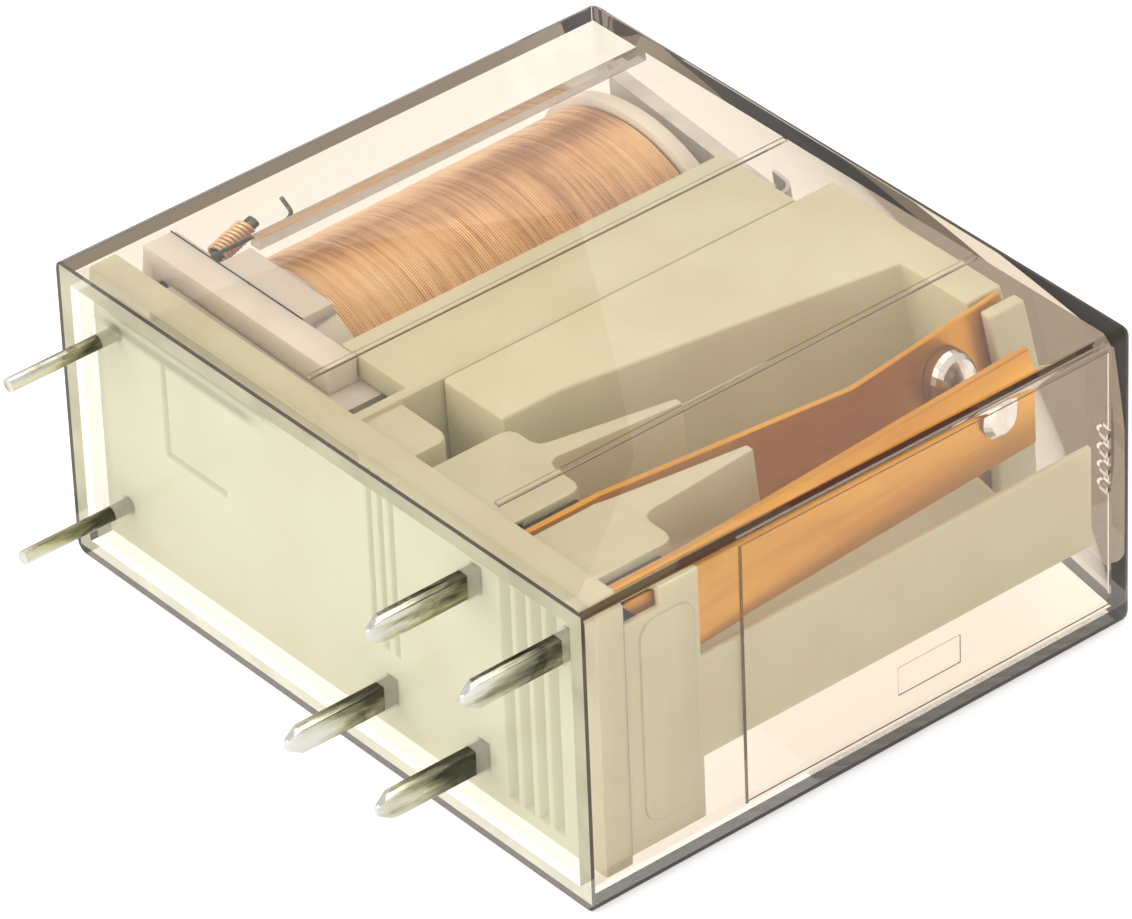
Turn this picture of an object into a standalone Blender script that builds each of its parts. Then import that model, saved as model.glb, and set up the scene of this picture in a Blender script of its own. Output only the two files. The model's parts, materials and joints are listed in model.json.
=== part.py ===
"""A flat two-pole relay with forcibly guided contacts, in a clear cover.

The relay lies on its large face. X runs along the base from the coil to the contacts,
Y runs from the pins to the closed end of the cover, and Z is up. Every form is drawn
in plan, measured from the corner of the case, and is moved to the origin at the end.
"""
import math

import bmesh
import bpy
from mathutils import Matrix, Vector

MM = 0.001

# Pins: a 2.5 mm grid along the base, and two rows across it
PIN_GRID = 2.5 * MM
NC_PIN_STEPS = 6
MOVING_PIN_STEPS = 8
NO_PIN_STEPS = 10
COIL_PIN_INSET = 2.1 * MM
CONTACT_PIN_INSET = 1.9 * MM
ROW_SPACING = 7.5 * MM
ROW_INSET = 2.6 * MM
PIN_LENGTH = 3.9 * MM
BLADE_THICKNESS = 0.5 * MM
BLADE_WIDTH = 1.05 * MM
BLADE_TIP = 0.6 * MM
COIL_PIN_RADIUS = 0.28 * MM

# Cover
CASE_WALL = 0.8 * MM
CASE_ROUNDING = 0.45 * MM
RIB_DEPTH = 0.12 * MM
RIB_WIDTH = 0.22 * MM
BROAD_RIB_WIDTH = 0.5 * MM
BROAD_RIB_DEPTH = 0.5 * MM
RIB_START = 2.3 * MM
THICK_WALL_LENGTH = 7.1 * MM
WALL_STEP = 0.12 * MM
MARK_START = 14.1 * MM
MARK_LENGTH = 2.9 * MM
MARK_HEIGHT = 1.2 * MM
MARK_DEPTH = 0.06 * MM
TOOTH_SIZE = 0.3 * MM
TOOTH_PITCH = 0.75 * MM

# Fits: seated pieces keep FIT, bonded or touching pieces keep TOUCH
FIT = 0.05 * MM
TOUCH = 0.03 * MM
JOIN = 0.1 * MM
THROUGH = 1.0 * MM

# Resin and base
RESIN_RECESS = 0.3 * MM
RESIN_THICKNESS = 0.55 * MM
COLLAR_HEIGHT = 0.25 * MM
COLLAR_RADIUS = 0.62 * MM
BASE_PLATE = 1.2 * MM
BASE_TOP_INSET = 0.3 * MM
BLOCK_HEIGHT = 3.4 * MM
BOSS_HEIGHT = 2.0 * MM
BOSS_LENGTH = 2.65 * MM
BOSS_ROUNDING = 0.5 * MM
BLOCK_INSET = 0.35 * MM
SHOULDER_RISE = 0.3 * MM
SHOULDER_ROUNDING = 0.45 * MM
WEDGE_REACH = 9.0 * MM
WEDGE_TIP = 0.35 * MM
WEDGE_FOOT = 0.85 * MM
WEDGE_LEAN = 1.0 * MM
WEDGE_SPREAD = 0.3 * MM
PARTITION_WALL = 0.45 * MM
PARTITION_LIP = 0.5 * MM
PARTITION_END_GAP = 2.1 * MM
POLE_WALL = 0.8 * MM
SIDE_WALL = 0.36 * MM
SIDE_WALL_DEPTH = 4.2 * MM
SIDE_WALL_END_GAP = 0.75 * MM
ROOT_NOTCH = 1.65 * MM
ROOT_NOTCH_DEPTH = 0.85 * MM
PANEL_RELIEF = 0.1 * MM
UNDERSIDE_GROOVE = 0.5 * MM
GROOVE_WIDTH = 0.3 * MM
FLUTE_LENGTH = 7.1 * MM

# Coil and iron
COIL_CLEARANCE = 0.35 * MM
COIL_SIDE_CLEARANCE = 0.1 * MM
FLANGE_LIP = 0.4 * MM
BOBBIN_BLOCK = 1.3 * MM
LOWER_FLANGE = 1.55 * MM
WINDING_WINDOW = 15.15 * MM
UPPER_FLANGE = 0.65 * MM
CORE_RADIUS = 2.0 * MM
CORE_SHANK_RADIUS = 1.45 * MM
BARREL_WALL = 0.5 * MM
POLE_RADIUS = 3.4 * MM
POLE_THICKNESS = 0.4 * MM
WIRE_RIDGES = 24
WIRE_RIDGE_DEPTH = 0.07 * MM
YOKE_THICKNESS = 1.1 * MM
YOKE_WIDTH = 8.4 * MM
YOKE_ROUNDING = 0.5 * MM
POST_LENGTH = 2.75 * MM
POST_LEAN = 0.35 * MM
LEAD_RADIUS = 0.09 * MM

# Armature and its swing
ARMATURE_SWING = math.radians(5.0)
ARMATURE_THICKNESS = 0.65 * MM
ARMATURE_PLATE = 9.85 * MM
ARMATURE_PLATE_WIDTH = 8.0 * MM
ARMATURE_LEG = 8.0 * MM
ARMATURE_LEG_WIDTH = 6.0 * MM
ARMATURE_HEADROOM = 0.3 * MM
HINGE_LEAF = 0.15 * MM
HINGE_LEAF_REACH = 5.4 * MM
HINGE_FLANK = 1.0 * MM

# Contact springs
SPRING_WIDTH = 3.3 * MM
SPRING_SIDE_GAP = 0.25 * MM
FIXED_SKIRT = 0.45 * MM
MOVING_LEAF = 0.22 * MM
FIXED_LEAF = 0.3 * MM
SPRING_END_GAP = 0.75 * MM
PUSH_BELOW_TIP = 0.55 * MM
CONTACT_BELOW_PUSH = 2.8 * MM
BEND_BELOW_CONTACT = 4.25 * MM
MOVING_BOW = 1.15 * MM
MOVING_TIP_SHIFT = 0.3 * MM
NO_LEAN = 0.9 * MM
CONTACT_END = 1.8 * MM
MOVING_JOG = 0.7 * MM
NC_JOG = 1.0 * MM
HEAD_WIDTH = 2.6 * MM
TERMINAL_HEAD = 2.9 * MM
RIVET_RADIUS = 1.1 * MM
RIVET_SHANK = 0.5 * MM
RIVET_TAIL_RADIUS = 0.85 * MM
RIVET_TAIL = 0.3 * MM
MOVING_HEAD = 0.95 * MM
NC_HEAD = 0.9 * MM
CLOSED_GAP = 0.06 * MM

# Actuator card
CARD_START = 3.8 * MM
CARD_NARROW = 3.2 * MM
CARD_STRAIGHT = 2.6 * MM
CARD_WIDE = 5.4 * MM
CARD_DEPTH = 4.7 * MM
CARD_ARM = 1.65 * MM
CARD_END_GAP = 0.35 * MM
CARD_FORK = 0.55 * MM
FORK_CLEARANCE = 0.12 * MM
TONGUE_HEIGHT = 1.3 * MM
TONGUE_DEPTH = 1.8 * MM

# Sizes worked out from the ones above
CASE_LENGTH = COIL_PIN_INSET + NO_PIN_STEPS * PIN_GRID + CONTACT_PIN_INSET
CASE_THICKNESS = ROW_SPACING + 2 * ROW_INSET
MID_Z = CASE_THICKNESS / 2
UPPER_ROW_Z = MID_Z + ROW_SPACING / 2
LOWER_ROW_Z = MID_Z - ROW_SPACING / 2
NC_PIN_X = COIL_PIN_INSET + NC_PIN_STEPS * PIN_GRID
MOVING_PIN_X = COIL_PIN_INSET + MOVING_PIN_STEPS * PIN_GRID
NO_PIN_X = COIL_PIN_INSET + NO_PIN_STEPS * PIN_GRID
INSIDE_X1 = CASE_LENGTH - CASE_WALL
INSIDE_Z1 = CASE_THICKNESS - CASE_WALL

RESIN_Y1 = RESIN_RECESS + RESIN_THICKNESS
BASE_Y0 = RESIN_Y1 + TOUCH
BASE_Y1 = BASE_Y0 + BASE_PLATE
ROOT_Y = BASE_Y1 + BLOCK_HEIGHT
YOKE_Y0 = BASE_Y1 + FIT
BOBBIN_Y0 = YOKE_Y0 + YOKE_THICKNESS + FIT
FLANGE_Y0 = BOBBIN_Y0 + BOBBIN_BLOCK
WINDOW_Y0 = FLANGE_Y0 + LOWER_FLANGE
WINDOW_Y1 = WINDOW_Y0 + WINDING_WINDOW
BOBBIN_Y1 = WINDOW_Y1 + UPPER_FLANGE
POLE_Y = BOBBIN_Y1 + TOUCH + POLE_THICKNESS
ARMATURE_RISE = ARMATURE_PLATE * math.sin(ARMATURE_SWING)
INSIDE_Y1 = POLE_Y + TOUCH + ARMATURE_THICKNESS + ARMATURE_RISE + ARMATURE_HEADROOM
CASE_HEIGHT = INSIDE_Y1 + CASE_WALL

FLANGE_RADIUS = MID_Z - CASE_WALL - COIL_CLEARANCE
WINDING_RADIUS = FLANGE_RADIUS - FLANGE_LIP
BARREL_RADIUS = CORE_RADIUS + FIT + BARREL_WALL
COIL_X = CASE_WALL + COIL_SIDE_CLEARANCE + FLANGE_RADIUS
YOKE_X0 = COIL_X + FLANGE_RADIUS + FIT
YOKE_X1 = YOKE_X0 + YOKE_THICKNESS
LEG_X0 = YOKE_X1 + FIT
LEG_X1 = LEG_X0 + ARMATURE_THICKNESS
LEG_END_Y = POLE_Y - ARMATURE_LEG
CARD_TRAVEL = ARMATURE_LEG * ARMATURE_SWING
PARTITION_X0 = LEG_X1 + CARD_TRAVEL + FIT
PARTITION_X1 = PARTITION_X0 + PARTITION_WALL
CARD_X0 = PARTITION_X1 + FIT

LEG_ROOM = ARMATURE_LEG_WIDTH / 2 + 3 * FIT
HINGE_HALF = LEG_ROOM + HINGE_FLANK
BASE_LOW_Z = CASE_WALL + BASE_TOP_INSET
BASE_HIGH_Z = INSIDE_Z1 - BASE_TOP_INSET

UPPER_SPRING_Z = INSIDE_Z1 - SPRING_SIDE_GAP - SPRING_WIDTH / 2
LOWER_SPRING_Z = CASE_WALL + SPRING_SIDE_GAP + SPRING_WIDTH / 2
SPRING_TIP_Y = INSIDE_Y1 - SPRING_END_GAP
PUSH_Y = SPRING_TIP_Y - PUSH_BELOW_TIP
CONTACT_Y = PUSH_Y - CONTACT_BELOW_PUSH
BEND_Y = CONTACT_Y - BEND_BELOW_CONTACT
FOOT_Y = BASE_Y1 + FIT
SPRING_RATIO = ARMATURE_LEG / (PUSH_Y - FOOT_Y)
CONTACT_TRAVEL = SPRING_RATIO * ARMATURE_SWING * (CONTACT_Y - FOOT_Y)
ROOT_TRAVEL = SPRING_RATIO * ARMATURE_SWING * (ROOT_Y - FOOT_Y)


def past_blade(pin_x, jog, leaf):
    """Return the middle of a leaf that lies on the far side of a terminal's head."""
    return pin_x + jog + BLADE_THICKNESS / 2 + TOUCH + leaf / 2


MOVING_X = past_blade(MOVING_PIN_X, MOVING_JOG, MOVING_LEAF)
NO_X = past_blade(NO_PIN_X, 0.0, FIXED_LEAF)
NC_X = past_blade(NC_PIN_X, NC_JOG, FIXED_LEAF)

SHIFT = Vector((-CASE_LENGTH / 2, -(CASE_HEIGHT - PIN_LENGTH) / 2, 0.0))


def material(name, colour, roughness, metallic=0.0, alpha=1.0):
    """Return a Principled material in one plain colour."""
    made = bpy.data.materials.new(name)
    made.use_nodes = True
    shader = made.node_tree.nodes["Principled BSDF"]
    shader.inputs["Base Color"].default_value = (*colour, 1.0)
    shader.inputs["Roughness"].default_value = roughness
    shader.inputs["Metallic"].default_value = metallic
    shader.inputs["Alpha"].default_value = alpha
    return made


def to_object(name, bm):
    """Turn a bmesh into a linked object with its faces pointing out."""
    bmesh.ops.recalc_face_normals(bm, faces=bm.faces)
    mesh = bpy.data.meshes.new(name)
    bm.to_mesh(mesh)
    bm.free()
    made = bpy.data.objects.new(name, mesh)
    bpy.context.collection.objects.link(made)
    return made


def prism(name, outline, z0, z1):
    """Extrude an outline in plan from z0 to z1."""
    bm = bmesh.new()
    face = bm.faces.new([bm.verts.new((x, y, z0)) for x, y in outline])
    grown = bmesh.ops.extrude_face_region(bm, geom=[face])["geom"]
    tops = [item for item in grown if isinstance(item, bmesh.types.BMVert)]
    bmesh.ops.translate(bm, verts=tops, vec=(0.0, 0.0, z1 - z0))
    return to_object(name, bm)


def block(name, x0, x1, y0, y1, z0, z1):
    """Return a rectangular block."""
    return prism(name, [(x0, y0), (x1, y0), (x1, y1), (x0, y1)], z0, z1)


def turned(name, profile, steps, ring=False):
    """Spin a profile of (radius, height) points about Z; a ring closes on itself."""
    bm = bmesh.new()
    points = [bm.verts.new((radius, 0.0, height)) for radius, height in profile]
    pairs = list(zip(points, points[1:]))
    if ring:
        pairs.append((points[-1], points[0]))
    edges = [bm.edges.new(pair) for pair in pairs]
    bmesh.ops.spin(bm, geom=points + edges, cent=(0, 0, 0), axis=(0, 0, 1), steps=steps,
                   angle=math.tau, use_merge=True)
    bmesh.ops.remove_doubles(bm, verts=bm.verts, dist=0.0001 * MM)
    return to_object(name, bm)


def turn_onto(made, direction, place):
    """Turn an object's Z axis onto a direction and move its base to a place."""
    turn = Vector((0, 0, 1)).rotation_difference(Vector(direction)).to_matrix().to_4x4()
    made.data.transform(Matrix.Translation(place) @ turn)
    return made


def rod(name, path, radius, sides=12):
    """Return a round rod along a path, as a mesh with filled ends."""
    curve = bpy.data.curves.new(name, "CURVE")
    curve.dimensions = "3D"
    curve.bevel_depth = radius
    curve.bevel_resolution = (sides - 4) // 2
    curve.use_fill_caps = True
    spline = curve.splines.new("POLY")
    spline.points.add(len(path) - 1)
    for point, place in zip(spline.points, path):
        point.co = (*place, 1.0)
    holder = bpy.data.objects.new(name + "_path", curve)
    bpy.context.collection.objects.link(holder)
    graph = bpy.context.evaluated_depsgraph_get()
    mesh = bpy.data.meshes.new_from_object(holder.evaluated_get(graph))
    bpy.data.objects.remove(holder)
    bm = bmesh.new()
    bm.from_mesh(mesh)
    bpy.data.meshes.remove(mesh)
    bmesh.ops.remove_doubles(bm, verts=bm.verts, dist=0.0001 * MM)
    return to_object(name, bm)


def settle(made):
    """Replace an object's mesh by what its modifiers make of it."""
    graph = bpy.context.evaluated_depsgraph_get()
    mesh = bpy.data.meshes.new_from_object(made.evaluated_get(graph))
    made.modifiers.clear()
    old = made.data
    made.data = mesh
    bpy.data.meshes.remove(old)
    return made


def combine(made, tools, operation):
    """Join, or cut, an object with a list of tools, which are used up."""
    for tool in tools:
        step = made.modifiers.new(operation.title(), "BOOLEAN")
        step.operation = operation
        step.object = tool
    settle(made)
    for tool in tools:
        bpy.data.objects.remove(tool)
    return made


def rounded(made, width, segments=2, angle=50.0):
    """Round the edges that turn by more than an angle."""
    bevel = made.modifiers.new("Rounding", "BEVEL")
    bevel.width = width
    bevel.segments = segments
    bevel.limit_method = "ANGLE"
    bevel.angle_limit = math.radians(angle)
    return settle(made)


def leaf(name, path, thickness, z0, z1):
    """Return a leaf of sheet metal that follows a path in plan."""
    bm = bmesh.new()
    lows = [bm.verts.new((x, y, z0)) for x, y in path]
    highs = [bm.verts.new((x, y, z1)) for x, y in path]
    for i in range(len(path) - 1):
        bm.faces.new((lows[i], lows[i + 1], highs[i + 1], highs[i]))
    made = to_object(name, bm)
    solid = made.modifiers.new("Sheet", "SOLIDIFY")
    solid.thickness = thickness
    solid.offset = 0.0
    solid.use_even_offset = True
    return settle(made)


def x_on(path, y):
    """Return where a path in plan crosses y, and its slope there."""
    for (xa, ya), (xb, yb) in zip(path, path[1:]):
        if ya <= y <= yb:
            slope = (xb - xa) / (yb - ya)
            return xa + slope * (y - ya), slope
    raise ValueError("the path doesn't cross that height")


def moving_path():
    """Return the moving springs' path: straight root, bowed leaf, inward tip."""
    return [
        (MOVING_X, BASE_Y1 + FIT),
        (MOVING_X, ROOT_Y),
        (MOVING_X + MOVING_BOW, BEND_Y),
        (MOVING_X + MOVING_TIP_SHIFT, SPRING_TIP_Y),
    ]


def no_fixed_path():
    """Return the fixed spring of the upper pole, which leans towards the moving one."""
    end_y = CONTACT_Y + CONTACT_END
    return [(NO_X, BASE_Y1 + FIT), (NO_X, ROOT_Y), (NO_X - NO_LEAN, end_y)]


def nc_fixed_path():
    """Return the fixed spring of the lower pole, closed on the moving one at rest."""
    moving_x, _ = x_on(moving_path(), CONTACT_Y)
    stack = MOVING_LEAF / 2 + MOVING_HEAD + CLOSED_GAP + NC_HEAD + FIXED_LEAF / 2
    x = moving_x - stack
    end_y = CONTACT_Y + CONTACT_END
    return [(NC_X, BASE_Y1 + FIT), (NC_X, ROOT_Y), (x, BEND_Y), (x, end_y)]


def cover():
    """Return the clear case: a thin box, open at the pin end, with ribs inside."""
    shell = block("cover", 0, CASE_LENGTH, 0, CASE_HEIGHT, 0, CASE_THICKNESS)
    rounded(shell, CASE_ROUNDING, 3)
    low, high = CASE_WALL, INSIDE_Z1
    cavity = block("cavity", low, INSIDE_X1, -CASE_ROUNDING - THROUGH, INSIDE_Y1, low, high)
    combine(shell, [cavity], "DIFFERENCE")
    mouth = block("mouth", low, INSIDE_X1, -THROUGH, CASE_ROUNDING + JOIN, low, high)
    square = block("square", 0, CASE_LENGTH, 0, CASE_ROUNDING, 0, CASE_THICKNESS)
    rounded_sides(square)
    combine(square, [mouth], "DIFFERENCE")
    combine(shell, [square], "UNION")
    step = block("step", INSIDE_X1 - JOIN, INSIDE_X1 + WALL_STEP, THICK_WALL_LENGTH,
                 INSIDE_Y1 - RIB_DEPTH, low + RIB_DEPTH, high - RIB_DEPTH)
    mark_x0 = INSIDE_X1 + WALL_STEP - JOIN
    mark_z0 = low + MARK_HEIGHT
    mark = block("mark", mark_x0, INSIDE_X1 + WALL_STEP + MARK_DEPTH, MARK_START,
                 MARK_START + MARK_LENGTH, mark_z0, mark_z0 + MARK_HEIGHT)
    combine(shell, [step], "DIFFERENCE")
    combine(shell, [mark], "DIFFERENCE")
    ribs = []
    for x, width, depth, y0 in rib_places():
        for z0, z1 in ((high - depth, high + JOIN), (low - JOIN, low + depth)):
            y1 = INSIDE_Y1 + JOIN
            ribs.append(block("rib", x - width / 2, x + width / 2, y0, y1, z0, z1))
    x0 = INSIDE_X1 - TOUCH - JOIN
    for i in range(4):
        z = MID_Z + (i - 0.5) * TOOTH_PITCH
        y0 = INSIDE_Y1 - TOOTH_SIZE
        top = z + TOOTH_SIZE / 2
        ribs.append(block("tooth", x0 - TOOTH_SIZE, INSIDE_X1 + 2 * JOIN, y0, INSIDE_Y1 + JOIN,
                          z - TOOTH_SIZE / 2, top))
    return combine(shell, ribs, "UNION")


def rounded_sides(made):
    """Round only the four long corner edges of a short length of case."""
    bm = bmesh.new()
    bm.from_mesh(made.data)
    edges = [e for e in bm.edges if abs(e.verts[0].co.y - e.verts[1].co.y) > JOIN]
    bmesh.ops.bevel(bm, geom=edges, offset=CASE_ROUNDING, segments=3, profile=0.5,
                    affect="EDGES")
    bm.to_mesh(made.data)
    bm.free()


def rib_places():
    """Return each rib of the cover's large walls: its place, width, depth and start."""
    broad = CASE_WALL + COIL_SIDE_CLEARANCE + FLANGE_RADIUS / 2
    return [
        (broad, BROAD_RIB_WIDTH, BROAD_RIB_DEPTH, WINDOW_Y0 + 3 * FIT),
        (YOKE_X0 + JOIN, RIB_WIDTH, RIB_DEPTH, RIB_START),
        (MOVING_PIN_X - BLADE_THICKNESS, RIB_WIDTH, RIB_DEPTH, RIB_START),
    ]


def pin_holes(clearance, y0, y1):
    """Return cutters for the six pins, between two heights."""
    cutters = []
    for z in (UPPER_ROW_Z, LOWER_ROW_Z):
        hole = rod("hole", [(COIL_PIN_INSET, y0, z), (COIL_PIN_INSET, y1, z)],
                   COIL_PIN_RADIUS + clearance, 16)
        cutters.append(hole)
    half = BLADE_THICKNESS / 2 + clearance
    reach = BLADE_WIDTH / 2 + clearance
    places = [(MOVING_PIN_X, UPPER_ROW_Z), (NO_PIN_X, UPPER_ROW_Z),
              (NC_PIN_X, LOWER_ROW_Z), (MOVING_PIN_X, LOWER_ROW_Z)]
    for x, z in places:
        cutters.append(block("slot", x - half, x + half, y0, y1, z - reach, z + reach))
    return cutters


def sealing_resin():
    """Return the resin that fills the mouth, with a collar round each coil pin."""
    x0, x1 = CASE_WALL + FIT, INSIDE_X1 - FIT
    z0, z1 = CASE_WALL + FIT, INSIDE_Z1 - FIT
    made = block("sealing_resin", x0, x1, RESIN_RECESS, RESIN_Y1, z0, z1)
    collars = []
    for z in (UPPER_ROW_Z, LOWER_ROW_Z):
        profile = [(0, 0), (COLLAR_RADIUS, 0), (COLLAR_RADIUS, JOIN),
                   (COIL_PIN_RADIUS + 2 * FIT, JOIN + COLLAR_HEIGHT), (0, JOIN + COLLAR_HEIGHT)]
        place = (COIL_PIN_INSET, RESIN_RECESS + JOIN, z)
        collars.append(turn_onto(turned("collar", profile, 20), (0, -1, 0), place))
    combine(made, collars, "UNION")
    return combine(made, pin_holes(TOUCH, -THROUGH, RESIN_Y1 + THROUGH), "DIFFERENCE")


def wedge_outline(x0, x1, foot_x, flank_x, tip_x, left_y, right_y):
    """Return a spring block's outline: soft shoulders and one tall thin wedge."""
    low = BASE_Y1 - JOIN
    tip_y = BASE_Y1 + WEDGE_REACH
    soft = SHOULDER_ROUNDING
    outline = [
        (x0, low),
        (x1, low),
        (x1, right_y - soft),
        (x1 - soft * 0.3, right_y - soft * 0.3),
        (x1 - soft, right_y),
        (flank_x + soft, right_y),
        (flank_x + soft * 0.3, right_y + soft * 0.3),
        (flank_x, right_y + soft),
        (tip_x + WEDGE_TIP, tip_y),
        (tip_x, tip_y),
    ]
    if foot_x - x0 > 2 * soft:
        outline += [
            (foot_x, left_y + soft),
            (foot_x - soft * 0.3, left_y + soft * 0.3),
            (foot_x - soft, left_y),
            (x0 + soft, left_y),
            (x0 + soft * 0.3, left_y - soft * 0.3),
        ]
    else:
        outline.append((foot_x, left_y))
    return outline + [(x0, left_y - soft)]


def spring_slot(x, thickness, jog_side=BLADE_THICKNESS):
    """Return the two sides of the slot that takes a spring's root and its terminal."""
    low = x - thickness / 2 - TOUCH - jog_side - FIT
    return low, x + thickness / 2 + FIT


def spring_blocks():
    """Return the blocks that clamp the springs' roots, for both poles."""
    moving_low, moving_high = spring_slot(MOVING_X, MOVING_LEAF)
    moving_high += ROOT_TRAVEL
    no_low, _ = spring_slot(NO_X, FIXED_LEAF)
    nc_low, nc_high = spring_slot(NC_X, FIXED_LEAF)
    tip_y = BASE_Y1 + WEDGE_REACH
    moving_x, _ = x_on(moving_path(), tip_y)
    swing = SPRING_RATIO * ARMATURE_SWING * (tip_y - FOOT_Y)
    clear_x = moving_x + MOVING_LEAF / 2 + swing + 3 * FIT
    left_x = nc_low + BLOCK_INSET
    inner_tip = (left_x + moving_low) / 2 + WEDGE_TIP
    inner_foot = inner_tip - WEDGE_LEAN
    left = wedge_outline(left_x, moving_low, inner_foot, inner_foot + WEDGE_FOOT, inner_tip,
                         ROOT_Y + SHOULDER_RISE, ROOT_Y - JOIN)
    outer_foot = moving_high + 2 * FIT
    right = wedge_outline(moving_high, no_low, outer_foot, clear_x + WEDGE_TIP + WEDGE_SPREAD,
                          clear_x, ROOT_Y, ROOT_Y + SHOULDER_RISE)
    low = BASE_Y1 - JOIN
    edge = nc_low - 2 * PARTITION_WALL
    return [
        prism("left", left, MID_Z - JOIN, BASE_HIGH_Z),
        prism("right", right, BASE_LOW_Z, BASE_HIGH_Z),
        block("lower_mid", nc_high, moving_low, low, ROOT_Y - JOIN, BASE_LOW_Z, MID_Z),
        block("lower_left", edge, nc_low, low, ROOT_Y - 2 * JOIN, BASE_LOW_Z, MID_Z + JOIN),
    ]


def side_wall():
    """Return the thin wall beside the fixed spring: tall at the base, then a band."""
    x1 = INSIDE_X1 - FIT
    x0 = x1 - SIDE_WALL
    low = BASE_Y1 - JOIN
    far_y = INSIDE_Y1 - SIDE_WALL_END_GAP
    spring_low = UPPER_SPRING_Z - SPRING_WIDTH / 2 - FIXED_SKIRT
    band = block("band", x0, x1 - PANEL_RELIEF, low, far_y,
                 spring_low - FIT - SIDE_WALL_DEPTH, spring_low - FIT)
    foot = block("foot", x0, x1 - PANEL_RELIEF, low, ROOT_Y, BASE_LOW_Z, BASE_HIGH_Z)
    panel_y0 = BASE_Y1 + BLOCK_HEIGHT * 0.2
    panel_y1 = ROOT_Y - PANEL_RELIEF * 3
    depth = (BASE_HIGH_Z - BASE_LOW_Z) / 2 - 2 * PARTITION_LIP
    panel = block("panel", x0 + JOIN, x1, panel_y0, panel_y1, MID_Z - depth, MID_Z + depth)
    round_across(panel, (panel_y1 - panel_y0) * 0.3)
    return [band, foot, panel]


def round_across(made, width):
    """Round the corner edges of a panel that run along X."""
    bm = bmesh.new()
    bm.from_mesh(made.data)
    edges = [e for e in bm.edges if abs(e.verts[0].co.x - e.verts[1].co.x) > JOIN]
    bmesh.ops.bevel(bm, geom=edges, offset=width, segments=4, profile=0.5, affect="EDGES")
    bm.to_mesh(made.data)
    bm.free()


def partition():
    """Return the channel that shuts the iron off from the contacts."""
    y1 = INSIDE_Y1 - PARTITION_END_GAP
    low = BASE_Y1 - JOIN
    wall = block("wall", PARTITION_X0, PARTITION_X1, low, y1, BASE_LOW_Z, BASE_HIGH_Z)
    lips = []
    x0 = YOKE_X0 - 2 * PARTITION_LIP
    x1 = PARTITION_X0 + JOIN
    inner = max(YOKE_WIDTH / 2, HINGE_HALF) + FIT
    low_lip = (BASE_LOW_Z, MID_Z - inner)
    high_lip = (MID_Z + inner, BASE_HIGH_Z)
    for z0, z1 in (low_lip, high_lip):
        lips.append(block("lip", x0, x1, FLANGE_Y0 + FIT, y1, z0, z1))
    return [wall] + lips


def tongue_box(margin):
    """Return the limits of the card's tongue, grown by a margin."""
    y0 = LEG_END_Y + FIT
    z0 = MID_Z + ARMATURE_LEG_WIDTH / 2 - TONGUE_DEPTH - JOIN
    return (y0 - margin, y0 + TONGUE_HEIGHT + margin, z0 - margin, z0 + TONGUE_DEPTH + margin)


def underside_cutters():
    """Return the grooves and pockets in the face under the resin."""
    y0, y1 = BASE_Y0 - THROUGH, BASE_Y0 + UNDERSIDE_GROOVE
    cutters = []
    left = COIL_PIN_INSET + PIN_GRID
    groove_x1 = left + 1.4 * PIN_GRID
    cutters.append(block("rise", left, left + GROOVE_WIDTH, y0, y1, MID_Z, UPPER_ROW_Z))
    cutters.append(block("run", left, groove_x1, y0, y1, MID_Z - GROOVE_WIDTH, MID_Z))
    band_z = BASE_HIGH_Z - 2 * GROOVE_WIDTH
    cutters.append(block("band", left - GROOVE_WIDTH, NC_PIN_X - PIN_GRID / 2, y0, y1 + JOIN,
                         band_z, band_z + 2 * GROOVE_WIDTH))
    for i in range(3):
        x = NC_PIN_X - PIN_GRID / 2 + (2 * i + 1) * GROOVE_WIDTH
        cutters.append(block("flute", x, x + GROOVE_WIDTH, y0, y1,
                             BASE_HIGH_Z - GROOVE_WIDTH - FLUTE_LENGTH, BASE_HIGH_Z - GROOVE_WIDTH))
    x0 = MOVING_PIN_X + PIN_GRID / 2
    x1 = NO_PIN_X - BLADE_THICKNESS
    for i in range(4):
        step = (x1 - x0) / 4
        x = x0 + i * step
        cutters.append(block("pocket", x, x + step * 0.7, y0, y1, BASE_LOW_Z + GROOVE_WIDTH,
                             BASE_HIGH_Z - GROOVE_WIDTH))
    return cutters


def jog_rooms():
    """Return cutters for the sideways steps of the terminals, on top of the plate."""
    half = BLADE_THICKNESS / 2 + FIT
    reach = HEAD_WIDTH / 2 + FIT
    top = BASE_Y1 + BLADE_THICKNESS + 2 * FIT
    places = [(MOVING_PIN_X, MOVING_JOG, UPPER_ROW_Z), (MOVING_PIN_X, MOVING_JOG, LOWER_ROW_Z),
              (NC_PIN_X, NC_JOG, LOWER_ROW_Z)]
    return [block("jog_room", x - half, x + jog + half, BASE_Y1, top, z - reach, z + reach)
            for x, jog, z in places]


def boss():
    """Return the low boss that stands on the plate below the card."""
    x0, x1 = PARTITION_X0 + JOIN, PARTITION_X1 + BOSS_LENGTH
    top = BASE_Y1 + BOSS_HEIGHT
    soft = BOSS_ROUNDING
    outline = [(x0, BASE_Y1 - JOIN), (x1, BASE_Y1 - JOIN), (x1, top - soft),
               (x1 - soft * 0.3, top - soft * 0.3), (x1 - soft, top), (x0, top)]
    return prism("boss", outline, MID_Z, BASE_HIGH_Z - 2 * JOIN)


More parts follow.
